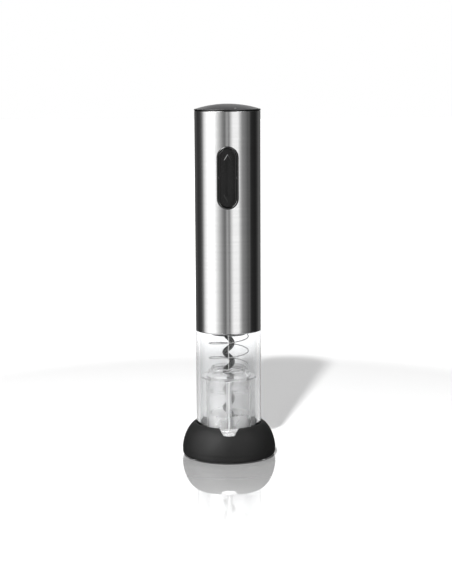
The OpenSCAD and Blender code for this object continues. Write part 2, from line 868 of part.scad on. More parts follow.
stand_shell();
stand_base();
stand_foot_ring();
stand_screws();
cutter_carrier();
cutter_pins();
for (k = [0:3]) cutter_wheel(90 * k);
clear_housing();
steel_sleeve();
chassis_front();
chassis_rear();
chassis_screws();
nose_plate();
nose_screws();
spindle_bush();
ring_gear();
motor_plate();
gearbox_screws();
motor_can();
motor_endcap();
motor_bushes();
motor_magnets();
motor_brushes();
motor_leads();
battery_tray();
for (k = [0:3]) battery_cell(k);
lower_contacts();
button_bezel();
button_pin();
switch_board();
tact_switches();
cap_collar();
rocker_button();
rotor_shaft();
armature();
commutator();
motor_pinion();
planet_carrier();
for (k = [0:2]) {
    upper_planet(thirds[k]);
    lower_planet(thirds[k]);
}
spindle();
corkscrew_worm();
neck_guide();
guide_collar();
guide_spring();
contact_plate();
top_contacts();
cap_rivet();
top_cap();
cap_seal();
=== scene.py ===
"""Looks of the electric wine opener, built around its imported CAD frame. Metres, +Z up, front towards -Y."""
import json
import math

import bmesh
import bpy
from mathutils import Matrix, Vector


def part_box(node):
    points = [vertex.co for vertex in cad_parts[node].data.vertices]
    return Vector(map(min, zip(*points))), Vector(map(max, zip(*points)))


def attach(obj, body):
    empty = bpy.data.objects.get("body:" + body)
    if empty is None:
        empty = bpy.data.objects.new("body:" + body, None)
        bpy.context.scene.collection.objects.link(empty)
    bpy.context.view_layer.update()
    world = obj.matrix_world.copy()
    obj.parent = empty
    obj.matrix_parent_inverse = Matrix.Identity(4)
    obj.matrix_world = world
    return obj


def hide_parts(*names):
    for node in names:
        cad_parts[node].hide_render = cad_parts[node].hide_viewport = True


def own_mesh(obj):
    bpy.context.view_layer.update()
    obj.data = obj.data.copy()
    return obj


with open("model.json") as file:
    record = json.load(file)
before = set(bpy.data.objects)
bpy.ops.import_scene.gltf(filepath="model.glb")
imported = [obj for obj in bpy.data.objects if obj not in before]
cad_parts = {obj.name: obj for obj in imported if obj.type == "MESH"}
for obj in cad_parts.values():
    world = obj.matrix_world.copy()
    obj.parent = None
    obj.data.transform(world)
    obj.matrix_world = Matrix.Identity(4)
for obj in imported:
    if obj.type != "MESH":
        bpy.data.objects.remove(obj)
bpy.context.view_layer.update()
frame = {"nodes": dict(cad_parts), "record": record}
scene = bpy.context.scene
MM = 0.001

# ---------------------------------------------------------------- sizes taken from the frame


def low(node):
    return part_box(node)[0]


def high(node):
    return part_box(node)[1]


BODY_R = high("steel_sleeve").x
JOINT_Z = low("steel_sleeve").z
SLEEVE_TOP = high("steel_sleeve").z
SLEEVE_WALL = 0.7 * MM
HOUSING_LOW = low("clear_housing").z
HOUSING_IN = high("nose_plate").x + 0.3 * MM
SPIGOT_TOP = high("clear_housing").z
STAND_R = high("stand_shell").x
STAND_TOP = high("stand_shell").z
STAND_LOW = low("stand_shell").z
SOCKET_R = BODY_R + 0.3 * MM
SOCKET_FLOOR = HOUSING_LOW - 0.2 * MM
BEZEL_W = high("button_bezel").x - low("button_bezel").x
BEZEL_H = high("button_bezel").z - low("button_bezel").z
BUTTON_Z = (high("button_bezel").z + low("button_bezel").z) / 2
ROCKER_W = high("rocker_button").x - low("rocker_button").x
ROCKER_H = high("rocker_button").z - low("rocker_button").z
CAP_LOW = SLEEVE_TOP + 0.2 * MM
CAP_TOP = high("top_cap").z
BOSS_LOW = low("nose_plate").z
WORM_TIP = low("corkscrew_worm").z
SPRING_LOW = low("guide_spring").z
SPRING_TOP = high("guide_spring").z
GUIDE_LOW = low("neck_guide").z
GUIDE_TOP = high("guide_collar").z
FLANGE_R = high("guide_collar").x
FLANGE_Z = high("neck_guide").z

# ---------------------------------------------------------------- material helpers


def node_of(tree, kind, **values):
    node = tree.nodes.new(kind)
    for key, value in values.items():
        setattr(node, key, value)
    return node


class Surface:
    """A Principled material whose colour, roughness and bump are broken up by noise."""

    def __init__(self, name, color, roughness, **sockets):
        self.material = bpy.data.materials.new(name)
        self.material.use_nodes = True
        self.tree = self.material.node_tree
        self.shader = self.tree.nodes["Principled BSDF"]
        self.shader.inputs["Base Color"].default_value = (*color, 1)
        self.shader.inputs["Roughness"].default_value = roughness
        for key, value in sockets.items():
            self.shader.inputs[key.replace("_", " ")].default_value = value
        self.color = color
        self.roughness = roughness
        self.heights = []
        self.coordinates = node_of(self.tree, "ShaderNodeTexCoord").outputs["Object"]

    def link(self, source, target):
        self.tree.links.new(source, target)
        return self

    def noise(self, scale, stretch=(1, 1, 1), detail=4.0, rough=0.55):
        mapping = node_of(self.tree, "ShaderNodeMapping")
        mapping.inputs["Scale"].default_value = stretch
        texture = node_of(self.tree, "ShaderNodeTexNoise")
        texture.inputs["Scale"].default_value = scale
        texture.inputs["Detail"].default_value = detail
        texture.inputs["Roughness"].default_value = rough
        self.link(self.coordinates, mapping.inputs["Vector"])
        self.link(mapping.outputs["Vector"], texture.inputs["Vector"])
        return texture.outputs["Fac"]

    def scaled(self, value, to_low, to_high, from_low=0.3, from_high=0.7):
        ranged = node_of(self.tree, "ShaderNodeMapRange")
        ranged.inputs["From Min"].default_value = from_low
        ranged.inputs["From Max"].default_value = from_high
        ranged.inputs["To Min"].default_value = to_low
        ranged.inputs["To Max"].default_value = to_high
        self.link(value, ranged.inputs["Value"])
        return ranged.outputs["Result"]

    def tint(self, value, amount):
        """Colour that runs from darker to lighter by amount where value goes from 0 to 1."""
        ramp = node_of(self.tree, "ShaderNodeValToRGB")
        ramp.color_ramp.elements[0].position = 0.3
        ramp.color_ramp.elements[1].position = 0.7
        ramp.color_ramp.elements[0].color = (*[c * (1 - amount) for c in self.color], 1)
        ramp.color_ramp.elements[1].color = (*[min(1, c * (1 + amount)) for c in self.color], 1)
        self.link(value, ramp.inputs["Fac"])
        self.link(ramp.outputs["Color"], self.shader.inputs["Base Color"])
        return self

    def vary_roughness(self, value, amount):
        self.link(
            self.scaled(value, max(0.02, self.roughness - amount), min(1, self.roughness + amount)),
            self.shader.inputs["Roughness"],
        )
        return self

    def bump(self, value, depth, strength=1.0):
        node = node_of(self.tree, "ShaderNodeBump")
        node.inputs["Strength"].default_value = strength
        node.inputs["Distance"].default_value = depth
        self.link(value, node.inputs["Height"])
        if self.heights:
            self.link(self.heights[-1], node.inputs["Normal"])
        self.heights.append(node.outputs["Normal"])
        self.link(node.outputs["Normal"], self.shader.inputs["Normal"])
        return self


def moulded(name, color, roughness, grain=900, depth=0.01 * MM, tint=0.08, **sockets):
    """Moulded plastic or rubber: fine spark-eroded grain with slow gloss variation."""
    s = Surface(name, color, roughness, **sockets)
    slow = s.noise(60, detail=3)
    fine = s.noise(grain, detail=2)
    return s.tint(slow, tint).vary_roughness(slow, 0.05).bump(fine, depth).material


def metal(name, color, roughness, stretch=(1, 1, 1), scale=300, depth=0.004 * MM, **sockets):
    """Turned, ground or drawn metal: fine lines along one direction and a little tarnish."""
    s = Surface(name, color, roughness, Metallic=1.0, **sockets)
    lines = s.noise(scale, stretch, detail=3)
    cloud = s.noise(90, detail=3)
    return s.tint(cloud, 0.08).vary_roughness(lines, 0.08).bump(lines, depth).material


def brushed_steel():
    """Sheet steel brushed round the tube: long hair lines at three widths."""
    s = Surface("brushed_steel", (0.80, 0.80, 0.80), 0.16, Metallic=1.0, Anisotropic=0.55)
    hair = s.noise(1, (60, 60, 5200), detail=4, rough=0.7)
    band = s.noise(1, (25, 25, 900), detail=3, rough=0.6)
    long_wave = s.noise(1, (8, 8, 60), detail=2)
    s.tint(band, 0.035)
    mixed = node_of(s.tree, "ShaderNodeMath", operation="MULTIPLY_ADD")
    s.link(hair, mixed.inputs[0])
    mixed.inputs[1].default_value = 0.6
    s.link(s.scaled(long_wave, 0.1, 0.3), mixed.inputs[2])
    s.vary_roughness(mixed.outputs["Value"], 0.05)
    s.bump(hair, 0.0015 * MM, 0.5)
    s.bump(band, 0.003 * MM, 0.4)
    around = node_of(s.tree, "ShaderNodeTangent", direction_type="RADIAL", axis="Z")
    s.shader.inputs["Anisotropic Rotation"].default_value = 0.25
    s.link(around.outputs["Tangent"], s.shader.inputs["Tangent"])
    return s.material


def clear(name, color, roughness, streak, through=1.0, shine=0.5, ior=1.46):
    """Clear injection-moulded plastic with faint flow streaks along the tube."""
    s = Surface(name, color, roughness, IOR=ior, Transmission_Weight=through, Specular_IOR_Level=shine)
    flow = s.noise(1, (260, 260, 18), detail=2)
    haze = s.noise(120, detail=3)
    return s.vary_roughness(haze, roughness * 0.6).bump(flow, streak, 0.6).material


def corkscrew_coat():
    """Black non-stick coating on wire, worn a little along the cutting side."""
    s = Surface("coated_steel", (0.004, 0.004, 0.004), 0.3, Specular_IOR_Level=0.1)
    speckle = s.noise(1500, detail=2)
    wear = s.noise(240, detail=5)
    return s.tint(wear, 0.5).vary_roughness(wear, 0.12).bump(speckle, 0.006 * MM).material


def circuit_board():
    """Green solder mask with tracks showing through as lighter lines."""
    s = Surface("circuit_board", (0.02, 0.16, 0.06), 0.35)
    tracks = node_of(s.tree, "ShaderNodeTexBrick")
    tracks.inputs["Scale"].default_value = 420
    tracks.inputs["Mortar Size"].default_value = 0.035
    s.link(s.coordinates, tracks.inputs["Vector"])
    s.tint(s.scaled(tracks.outputs["Fac"], 0.2, 0.8, 0, 1), 0.4)
    return s.bump(tracks.outputs["Fac"], 0.02 * MM).material


MATERIALS = {
    "brushed_steel": brushed_steel(),
    "clear_plastic": clear("clear_plastic", (0.85, 0.855, 0.86), 0.01, 0.0015 * MM, 1.0, 0.12),
    "frosted_plastic": clear("frosted_plastic", (0.84, 0.84, 0.84), 0.12, 0.004 * MM, 0.94, 0.25, 1.2),
    "gloss_black": moulded("gloss_black", (0.003, 0.003, 0.003), 0.1, 300, 0.001 * MM, 0.15),
    "satin_black": moulded("satin_black", (0.022, 0.022, 0.023), 0.36, 1400, 0.006 * MM, 0.12),
    "soft_black": moulded("soft_black", (0.007, 0.007, 0.007), 0.6, 1100, 0.012 * MM, 0.12,
                          Specular_IOR_Level=0.27),
    "coated_steel": corkscrew_coat(),
    "spring_steel": metal("spring_steel", (0.42, 0.42, 0.42), 0.28, (1, 1, 6)),
    "cutter_steel": metal("cutter_steel", (0.62, 0.62, 0.63), 0.25, (1, 1, 30), 500),
    "screw_steel": metal("screw_steel", (0.66, 0.66, 0.67), 0.22, (1, 1, 12), 500),
    "rubber": moulded("rubber", (0.018, 0.018, 0.018), 0.8, 900, 0.02 * MM),
    "inner_plastic": moulded("inner_plastic", (0.045, 0.045, 0.048), 0.5, 900, 0.015 * MM),
    "gear_plastic": moulded("gear_plastic", (0.74, 0.71, 0.63), 0.4, 900, 0.005 * MM,
                            Subsurface_Weight=0.1, Subsurface_Scale=0.001),
    "pressed_steel": metal("pressed_steel", (0.6, 0.6, 0.6), 0.3, (1, 1, 8), 260),
    "brass": metal("brass", (0.75, 0.58, 0.28), 0.25, (1, 1, 25), 400),
    "copper": metal("copper", (0.8, 0.42, 0.26), 0.28, (1, 1, 20), 400),
    "ferrite": moulded("ferrite", (0.07, 0.066, 0.063), 0.6, 700, 0.02 * MM, 0.2),
    "lamination": metal("lamination", (0.32, 0.27, 0.23), 0.45, (1, 1, 60), 90, 0.03 * MM),
    "circuit_board": circuit_board(),
    "wire_cover": moulded("wire_cover", (0.35, 0.03, 0.025), 0.4, 700, 0.004 * MM),
    "cell_wrap": moulded("cell_wrap", (0.25, 0.27, 0.29), 0.2, 260, 0.006 * MM, 0.1, Coat_Weight=0.6),
}
DOT_FINISH = moulded("index_paint", (0.1, 0.1, 0.1), 0.35, 900, 0.004 * MM)
BEZEL_FINISH = moulded("bezel_plastic", (0.003, 0.003, 0.003), 0.07, 300, 0.001 * MM, 0.15,
                       Specular_IOR_Level=0.8)
BOSS_FINISH = moulded("boss_plastic", (0.004, 0.004, 0.004), 0.5, 900, 0.006 * MM, Specular_IOR_Level=0.15)
RIB_FINISH = clear("rib_plastic", (0.8, 0.8, 0.8), 0.2, 0.006 * MM, 0.5, 0.4, 1.3)
LIP_FINISH = clear("lip_plastic", (0.6, 0.6, 0.6), 0.4, 0.004 * MM, 0.76, 0.2, 1.15)
COLLAR_FINISH = clear("collar_plastic", (0.86, 0.86, 0.86), 0.06, 0.004 * MM, 0.96, 0.4, 1.25)
LINING_FINISH = moulded("socket_lining", (0.06, 0.06, 0.06), 0.12, 300, 0.001 * MM, 0.1)
SEAM_FINISH = clear("seam_plastic", (0.6, 0.6, 0.6), 0.2, 0.01 * MM, 0.4)
TONGUE_FINISH = clear("tongue_plastic", (0.85, 0.85, 0.85), 0.06, 0.006 * MM, 0.72, 1.0)
SLOT_OF = {part["node"]: part["material_slot"] for part in frame["record"]["subparts"]}
for name, part in frame["nodes"].items():
    part.data.materials.clear()
    part.data.materials.append(MATERIALS[SLOT_OF[name]])
    part.data.shade_smooth()
    part.data.set_sharp_from_angle(angle=math.radians(28))

# ---------------------------------------------------------------- mesh helpers


def piece(name, vertices, faces, slot, body, stands_for=(), sharp=35, finish=None):
    """A welded mesh that rides on a body and stands for CAD nodes."""
    mesh = bpy.data.meshes.new(name)
    mesh.from_pydata([tuple(v) for v in vertices], [], faces)
    work = bmesh.new()
    work.from_mesh(mesh)
    bmesh.ops.remove_doubles(work, verts=work.verts, dist=1e-6)
    bmesh.ops.recalc_face_normals(work, faces=work.faces)
    work.to_mesh(mesh)
    work.free()
    obj = bpy.data.objects.new(name, mesh)
    scene.collection.objects.link(obj)
    mesh.materials.append(finish or MATERIALS[slot])
    mesh.shade_smooth()
    mesh.set_sharp_from_angle(angle=math.radians(sharp))
    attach(obj, body)
    if stands_for:
        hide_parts(*stands_for)
    return obj


def strips(loops, closed_loop=True, closed_stack=False):
    """Quads between successive loops of equal length, as (vertices, faces)."""
    count = len(loops[0])
    vertices = [v for loop in loops for v in loop]
    faces = []
    for i in range(len(loops) if closed_stack else len(loops) - 1):
        j = (i + 1) % len(loops)
        for k in range(count if closed_loop else count - 1):
            n = (k + 1) % count
            faces.append((i * count + k, i * count + n, j * count + n, j * count + k))
    return vertices, faces


def rounded(corners, radius, steps=5, hold=0.0):
    """Closed outline with each corner rounded. A corner is (r, z) or (r, z, its own radius).

    Where hold is given, a point that far past each corner keeps long faces flat."""
    outline = []
    count = len(corners)
    for i, corner in enumerate(corners):
        here = Vector(corner[:2])
        before = Vector(corners[i - 1][:2]) - here
        after = Vector(corners[(i + 1) % count][:2]) - here
        size = corner[2] if len(corner) > 2 else radius
        reach = min(size, 0.45 * before.length, 0.45 * after.length)
        if reach <= 0:
            outline.append(here)
            continue
        start = here + before.normalized() * reach
        end = here + after.normalized() * reach
        if 0 < hold < before.length / 3:
            outline.append(start + before.normalized() * hold)
        for step in range(steps + 1):
            t = step / steps
            outline.append(start.lerp(here, t).lerp(here.lerp(end, t), t))
        if 0 < hold < after.length / 3:
            outline.append(end + after.normalized() * hold)
    return outline


def lathe(name, outline, slot, body, stands_for=(), closed=True, segments=160, sharp=35, finish=None):
    """Turns an (r, z) outline round the axis. An open outline starts or ends on the axis."""
    loops = []
    for r, z in outline:
        radius = max(r, 1e-7)
        loops.append([
            (radius * math.cos(a), radius * math.sin(a), z)
            for a in (2 * math.pi * k / segments for k in range(segments))
        ])
    vertices, faces = strips(loops, closed_stack=closed)
    return piece(name, vertices, faces, slot, body, stands_for, sharp, finish)


def sweep(name, path, slot, body, stands_for=(), sides=16):
    """Round tube along (point, radius) pairs, with closed ends."""
    loops = []
    for i, (point, radius) in enumerate(path):
        along = (path[min(i + 1, len(path) - 1)][0] - path[max(i - 1, 0)][0]).normalized()
        outward = Vector((point.x, point.y, 0))
        if outward.length < 1e-5:
            outward = Vector((1, 0, 0))
        side = along.cross(outward).normalized()
        up = side.cross(along)
        loops.append([
            point + radius * (math.cos(a) * up + math.sin(a) * side)
            for a in (2 * math.pi * k / sides for k in range(sides))
        ])
    loops = [[path[0][0]] * sides] + loops + [[path[-1][0]] * sides]
    vertices, faces = strips(loops)
    return piece(name, vertices, faces, slot, body, stands_for, sharp=60)


# ---------------------------------------------------------------- stadium button parts

ARC_EIGHTH = 8
STRAIGHT = 26
FACE_CROWN = 220 * MM
FACE_DEPTH = 0.3 * MM


def stadium(width, height):
    """Stadium outline in (x, z) about the button's middle, the same point count at any size."""
    radius = width / 2
    straight = height / 2 - radius
    points = [(radius, straight * (2 * k / STRAIGHT - 1)) for k in range(STRAIGHT)]
    for k in range(4 * ARC_EIGHTH):
        a = math.pi * k / (4 * ARC_EIGHTH)
        points.append((radius * math.cos(a), straight + radius * math.sin(a)))
    return points + [(-x, -z) for x, z in points]


def on_tube(x, z, rise):
    radius = BODY_R + rise
    return Vector((x, -math.sqrt(max(radius * radius - x * x, 0)), BUTTON_Z + z))


def on_face(x, z, rise):
    """Point of the rocker's face, which is much flatter than the tube."""
    return Vector((x, x * x / FACE_CROWN - BODY_R + FACE_DEPTH - rise, BUTTON_Z + z))


def stadium_rings(width, height, section, close, wrap):
    """Loops at each (inset, height) of a section, laid on a surface."""
    loops = []
    for inset, rise in section:
        outline = stadium(max(width - 2 * inset, 1e-5), height - 2 * inset)
        loops.append([wrap(x, z, rise) for x, z in outline])
    return strips(loops, closed_stack=close)


def bezel():
    rim = 1.35 * MM
    section = rounded([
        (0, 0.05 * MM), (0, 0.22 * MM), (0.62 * MM, 0.68 * MM), (0.85 * MM, 0.72 * MM), (1.1 * MM, 0.66 * MM),
        (rim, 0.45 * MM), (rim, -4.5 * MM), (0.55 * MM, -4.5 * MM), (0.55 * MM, 0.05 * MM),
    ], 0.08 * MM, 4)
    vertices, faces = stadium_rings(BEZEL_W, BEZEL_H, section, True, on_tube)
    piece("bezel_ring", vertices, faces, "gloss_black", "opener", ["button_bezel"], finish=BEZEL_FINISH)


def rocker():
    section = [(0, -1.2 * MM), (0, -0.3 * MM)]
    edge = 0.5 * MM
    for step in range(7):
        a = math.pi / 2 * step / 6
        section.append((edge * (1 - math.cos(a)), -0.3 * MM + edge * math.sin(a)))
    half = ROCKER_W / 2
    for step in range(1, 9):
        section.append((edge + (half - edge) * step / 8, 0.2 * MM - 0.12 * MM * (step / 8) ** 1.6))
    vertices, faces = stadium_rings(ROCKER_W, ROCKER_H, section, False, on_face)
    back = [(x, -23.3 * MM, BUTTON_Z + z) for x, z in stadium(ROCKER_W, ROCKER_H)]
    base = len(vertices)
    count = len(back)
    vertices += back
    faces += [(k, (k + 1) % count, base + (k + 1) % count, base + k) for k in range(count)]
    faces.append(tuple(base + k for k in range(count)))
    piece("rocker_face", vertices, faces, "gloss_black", "rocker", ["rocker_button"])
    for side, name in ((1, "rocker_mark_up"), (-1, "rocker_mark_down")):
        mark(name, side)
    hub = [(r, x) for r, x in rounded([
        (0.95 * MM, -5.5 * MM), (2.4 * MM, -5.5 * MM), (2.4 * MM, 5.5 * MM), (0.95 * MM, 5.5 * MM),
    ], 0.2 * MM, 3)]
    pivot_y = (high("button_pin").y + low("button_pin").y) / 2
    loops = [[
        (x, pivot_y + r * math.cos(a), BUTTON_Z + r * math.sin(a))
        for a in (2 * math.pi * k / 48 for k in range(48))
    ] for r, x in hub]
    vertices, faces = strips(loops, closed_stack=True)
    piece("rocker_hub", vertices, faces, "gloss_black", "rocker")


def mark(name, side):
    """Raised triangle with broad sloping edges near one end of the rocker."""
    middle = side * 15 * MM
    corners = [(-3.1 * MM, -side * 2.3 * MM), (3.1 * MM, -side * 2.3 * MM), (0, side * 2.9 * MM)]
    edge = rounded(corners, 0.6 * MM, 6)
    slopes = ((1, -0.3), (1, 0.16), (0.98, 0.2), (0.68, 0.42), (0.62, 0.44), (0.3, 0.42), (1e-3, 0.42))
    loops = []
    for scale, rise in slopes:
        loops.append([on_face(x * scale, middle + z * scale, rise * MM) for x, z in edge])
    vertices, faces = strips(loops)
    piece(name, vertices, faces, "gloss_black", "rocker")


# ---------------------------------------------------------------- steel sleeve


def sleeve():
    """The tube's skin with a stadium hole, quads flowing from the hole into a plain grid."""
    hole = stadium(BEZEL_W - 0.8 * MM, BEZEL_H - 0.8 * MM)
    side_cells = STRAIGHT + 2 * ARC_EIGHTH
    top_cells = 2 * ARC_EIGHTH
    half_angle = math.radians(36)
    half_height = BEZEL_H / 2 + 7 * MM
    frame_loop = []
    for k in range(side_cells):
        frame_loop.append((half_angle, half_height * (2 * k / side_cells - 1)))
    for k in range(top_cells):
        frame_loop.append((half_angle * (1 - 2 * k / top_cells), half_height))
    frame_loop += [(-a, -z) for a, z in frame_loop]
    hole = hole[-ARC_EIGHTH:] + hole[:-ARC_EIGHTH]
    hole = [(math.asin(x / BODY_R), z) for x, z in hole]
    loops = []
    rings = 7
    for k in range(rings + 1):
        t = (k / rings) ** 1.4
        loops.append([
            ((1 - t) * h[0] + t * f[0], (1 - t) * h[1] + t * f[1]) for h, f in zip(hole, frame_loop)
        ])

    def place(angle, z):
        return (BODY_R * math.sin(angle), -BODY_R * math.cos(angle), BUTTON_Z + z)

    vertices, faces = strips([[place(a, z) for a, z in loop] for loop in loops])
    around = [half_angle * (1 - 2 * k / top_cells) for k in range(top_cells)]
    rest = 120
    around += [-half_angle - (2 * math.pi - 2 * half_angle) * k / rest for k in range(rest)]
    heights = [half_height * (2 * k / side_cells - 1) for k in range(side_cells + 1)]
    below = [JOINT_Z - BUTTON_Z + (-half_height - JOINT_Z + BUTTON_Z) * k / 30 for k in range(30)]
    above = [half_height + (SLEEVE_TOP - BUTTON_Z - half_height) * k / 8 for k in range(1, 9)]
    levels = below + heights + above
    count = len(around)
    start = len(vertices)
    vertices += [place(a, z) for z in levels for a in around]
    for i in range(len(levels) - 1):
        inside = len(below) <= i < len(below) + side_cells
        for k in range(count):
            if inside and k < top_cells:
                continue
            n = (k + 1) % count
            faces.append((start + i * count + k, start + i * count + n,
                          start + (i + 1) * count + n, start + (i + 1) * count + k))
    skin = piece("steel_skin", vertices, faces, "brushed_steel", "opener", ["steel_sleeve"], 45)
    sheet = skin.modifiers.new("sheet", "SOLIDIFY")
    sheet.thickness = SLEEVE_WALL
    sheet.offset = -1
    edge = skin.modifiers.new("edge", "BEVEL")
    edge.width = 0.15 * MM
    edge.segments = 2
    edge.angle_limit = math.radians(50)
    edge.harden_normals = True


# ---------------------------------------------------------------- stand


def shoulder(top_r, max_r, mid_z, top_z, count):
    """The stand's soft outline from its widest ring up to the rim."""
    points = []
    for k in range(count + 1):
        a = math.radians(86) * k / count
        points.append((top_r + (max_r - top_r) * math.cos(a) ** 1.333,
                       mid_z + (top_z - mid_z) * math.sin(a)))
    return points


def stand():
    mid = 3.5 * MM
    top = STAND_TOP + 0.1 * MM
    outer = [(33.4 * MM, STAND_LOW), (33.9 * MM, STAND_LOW), (34.7 * MM, 1.15 * MM), (35.3 * MM, 1.75 * MM),
             (35.68 * MM, 2.5 * MM)]
    outer += [(r - 0.2 * MM if z < 6.3 * MM else r, z)
              for r, z in shoulder(SOCKET_R + 0.1 * MM, STAND_R + 0.2 * MM, mid, top, 44)]
    rim = [(SOCKET_R + 0.3 * MM, STAND_TOP - 0.02 * MM), (SOCKET_R + 0.06 * MM, STAND_TOP - 0.15 * MM),
           (SOCKET_R, STAND_TOP - 0.4 * MM), (SOCKET_R, SOCKET_FLOOR), (1e-4 * MM, SOCKET_FLOOR),
           (1e-4 * MM, SOCKET_FLOOR - 2 * MM), (24.5 * MM, SOCKET_FLOOR - 2 * MM), (27.2 * MM, 10 * MM)]
    inner = shoulder(27.2 * MM, STAND_R - 2.2 * MM, mid, top - 2.8 * MM, 16)[::-1]
    shell = lathe("stand_body", outer + rim + inner + [(33.4 * MM, 3.4 * MM)], "soft_black", "stand",
                  ["stand_shell"], segments=256)
    wall = SOCKET_R - 0.05 * MM
    lining = [(0, SOCKET_FLOOR + 0.1 * MM), (wall - 0.6 * MM, SOCKET_FLOOR + 0.1 * MM),
              (wall - 0.15 * MM, SOCKET_FLOOR + 0.25 * MM), (wall, SOCKET_FLOOR + 0.7 * MM),
              (wall, 20.8 * MM), (wall + 0.2 * MM, 20.9 * MM),
              (wall + 0.2 * MM, SOCKET_FLOOR - 0.2 * MM), (0, SOCKET_FLOOR - 0.2 * MM)]
    lathe("stand_socket", lining, "soft_black", "stand", closed=False, segments=192, finish=LINING_FINISH)
    cutter = bpy.data.meshes.new("notch_tool")
    half_top, half_low, floor = 7.5 * MM, 3.9 * MM, 21.2 * MM
    edge = rounded([(-half_low, floor), (half_low, floor), (half_top, STAND_TOP), (half_top, 30 * MM, 0),
                    (-half_top, 30 * MM, 0), (-half_top, STAND_TOP)], 0.5 * MM, 4)
    loops = [[(x, y, z) for x, z in edge] for y in (-40 * MM, -21 * MM)]
    vertices, faces = strips(loops)
    count = len(edge)
    faces += [tuple(range(count)), tuple(range(2 * count - 1, count - 1, -1))]
    cutter.from_pydata(vertices, [], faces)
    tool = bpy.data.objects.new("notch_tool", cutter)
    scene.collection.objects.link(tool)
    cut = shell.modifiers.new("notch", "BOOLEAN")
    cut.operation = "DIFFERENCE"
    cut.object = tool
    bpy.context.view_layer.update()
    evaluated = shell.evaluated_get(bpy.context.evaluated_depsgraph_get())
    carved = bpy.data.meshes.new_from_object(evaluated)
    shell.modifiers.clear()
    shell.data = carved
    shell.data.set_sharp_from_angle(angle=math.radians(35))
    bpy.data.objects.remove(tool)


# ---------------------------------------------------------------- clear housing and guide


def housing():
    spigot = BODY_R - SLEEVE_WALL - 0.2 * MM
    shoulder_z = JOINT_Z - 0.2 * MM
    outline = rounded([
        (BODY_R, HOUSING_LOW), (BODY_R, shoulder_z), (spigot, shoulder_z), (spigot, SPIGOT_TOP),
        (HOUSING_IN, SPIGOT_TOP), (HOUSING_IN, HOUSING_LOW),
    ], 0.3 * MM, 4, 0.3 * MM)
    tube = lathe("housing_tube", outline, "clear_plastic", "opener", ["clear_housing"], segments=256)
    tube.visible_shadow = False
    bead("housing_seam", 0.2 * MM, BODY_R - 0.08 * MM, GUIDE_TOP + 1 * MM, shoulder_z - 0.5 * MM,
         "clear_plastic", "opener", finish=SEAM_FINISH)


def bead(name, half_width, depth, z_low, z_high, slot, body, swell=1.0, turn=0.0, finish=None):
    """Half-round bead that runs up a tube at a given depth, with its ends drawn in."""
    loops = []
    across = 12
    for z, share in ((z_low, 0.02), (z_low, 0.6), (z_low + 0.3 * MM, 1), (z_low + 0.8 * MM, 1),
                     (z_high - 0.8 * MM, 1), (z_high - 0.3 * MM, 1), (z_high, 0.6), (z_high, 0.02)):
        loop = []
        for k in range(2 * across):
            a = math.pi * k / across
            out = half_width * swell * share * math.sin(a) * (1 if k <= across else 0.1)
            loop.append(turned(half_width * share * math.cos(a), -(depth + out), z, turn))
        loops.append(loop)
    vertices, faces = strips(loops)
    return piece(name, vertices, faces, slot, body, sharp=50, finish=finish)


def turned(x, y, z, angle):
    return (x * math.cos(angle) - y * math.sin(angle), x * math.sin(angle) + y * math.cos(angle), z)


def tongue():
    """The clear tongue in the stand's notch: a broad lip under the rim, then a narrower foot."""
    columns = 22
    floor_z = 21.5 * MM
    top_z = STAND_TOP - 0.2 * MM
    rows = [
        (0.30, -0.15, 7.1), (1.0, 0.0, 7.1), (2.0, -0.3, 6.9), (2.9, -1.0, 6.3), (3.3, -1.8, 5.7),
        (3.35, -2.6, 5.2), (3.7, -2.9, 5.0), (4.4, -3.0, 4.9), (4.95, -3.3, 4.7), (5.2, -3.9, 4.4),
        (5.3, -4.7, 4.0),
    ]
    loops = []
    for out, drop, half in rows:
        loops.append(arc_row(BODY_R + out * MM, half * MM, top_z + drop * MM, columns, min(1.0, out) * MM))
    depth, half = BODY_R + rows[-1][0] * MM, 3.6 * MM
    loops.append(arc_row(depth, half, floor_z, columns, 1.0 * MM))
    loops.append(arc_row(BODY_R + 0.15 * MM, half, floor_z, columns))
    loops.append(arc_row(BODY_R + 0.15 * MM, rows[0][2] * MM, top_z - 0.3 * MM, columns))
    vertices, faces = strips(loops, closed_loop=False, closed_stack=True)
    count = columns + 1
    left = [i * count for i in range(len(loops))]
    right = [i * count + columns for i in range(len(loops))]
    faces += [tuple(left), tuple(reversed(right))]
    piece("housing_tongue", vertices, faces, "clear_plastic", "opener", sharp=30, finish=TONGUE_FINISH)


def arc_row(radius, half, z, columns, ridge=0.0):
    """Points across the front at a radius, from -half to +half in x, with a ridge in the middle."""
    row = []
    for k in range(columns + 1):
        x = half * (2 * k / columns - 1)
        row.append((x, -math.sqrt(radius * radius - x * x) - ridge * math.exp(-((x / (1.3 * MM)) ** 2)), z))
    return row


GUIDE_SLEEVE_OUT = 17.4 * MM
GUIDE_SLEEVE_IN = 15.6 * MM


